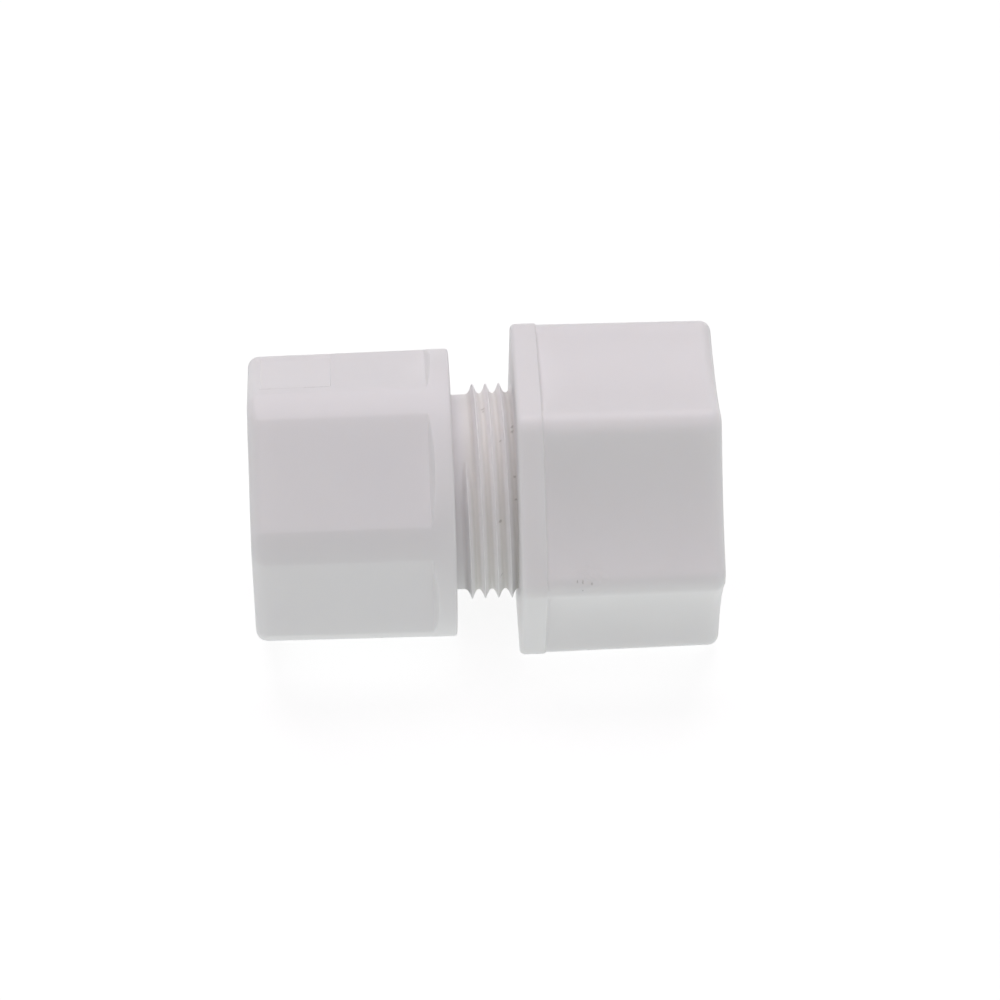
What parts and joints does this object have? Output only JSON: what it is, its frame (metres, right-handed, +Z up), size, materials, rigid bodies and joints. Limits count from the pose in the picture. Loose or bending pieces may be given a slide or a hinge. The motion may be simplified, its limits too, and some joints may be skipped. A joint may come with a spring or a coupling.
{
  "type": "female tube connector",
  "caption": "Plastic compression fitting: a screw-on nut with a sleeve and a split gripper ring holds a tube in a hexagonal body with a female pipe thread.",
  "frame": {"origin": "centre of the pipe port's mouth, on the axis of the fitting", "axes": "+X along the axis, out of the pipe port; the nut lies towards -X; +Z up, as the fitting lies on one side of its hexagonal flange"},
  "size_m": [0.0444, 0.032, 0.0282],
  "materials": {
    "body_plastic": "satin",
    "nut_plastic": "satin",
    "sleeve_plastic": "satin",
    "gripper_plastic": "satin"
  },
  "bodies": {
    "body": {"body": "body_plastic"},
    "rings": {"sleeve": "sleeve_plastic", "gripper_ring": "gripper_plastic"},
    "nut": {"compression_nut": "nut_plastic"}
  },
  "joints": [
    {"name": "nut_travel", "type": "slide", "parent": "body", "child": "rings", "axis": [1, 0, 0], "range_m": [0, 0.0047]},
    {"name": "nut_turn", "type": "hinge", "parent": "rings", "child": "nut", "pos_m": [0, 0, 0], "axis": [1, 0, 0], "range_deg": [0, 1332.2]}
  ],
  "couplings": [
    {"joint": "nut_travel", "follows": "nut_turn", "m_per_rad": 0.00020213}
  ]
}
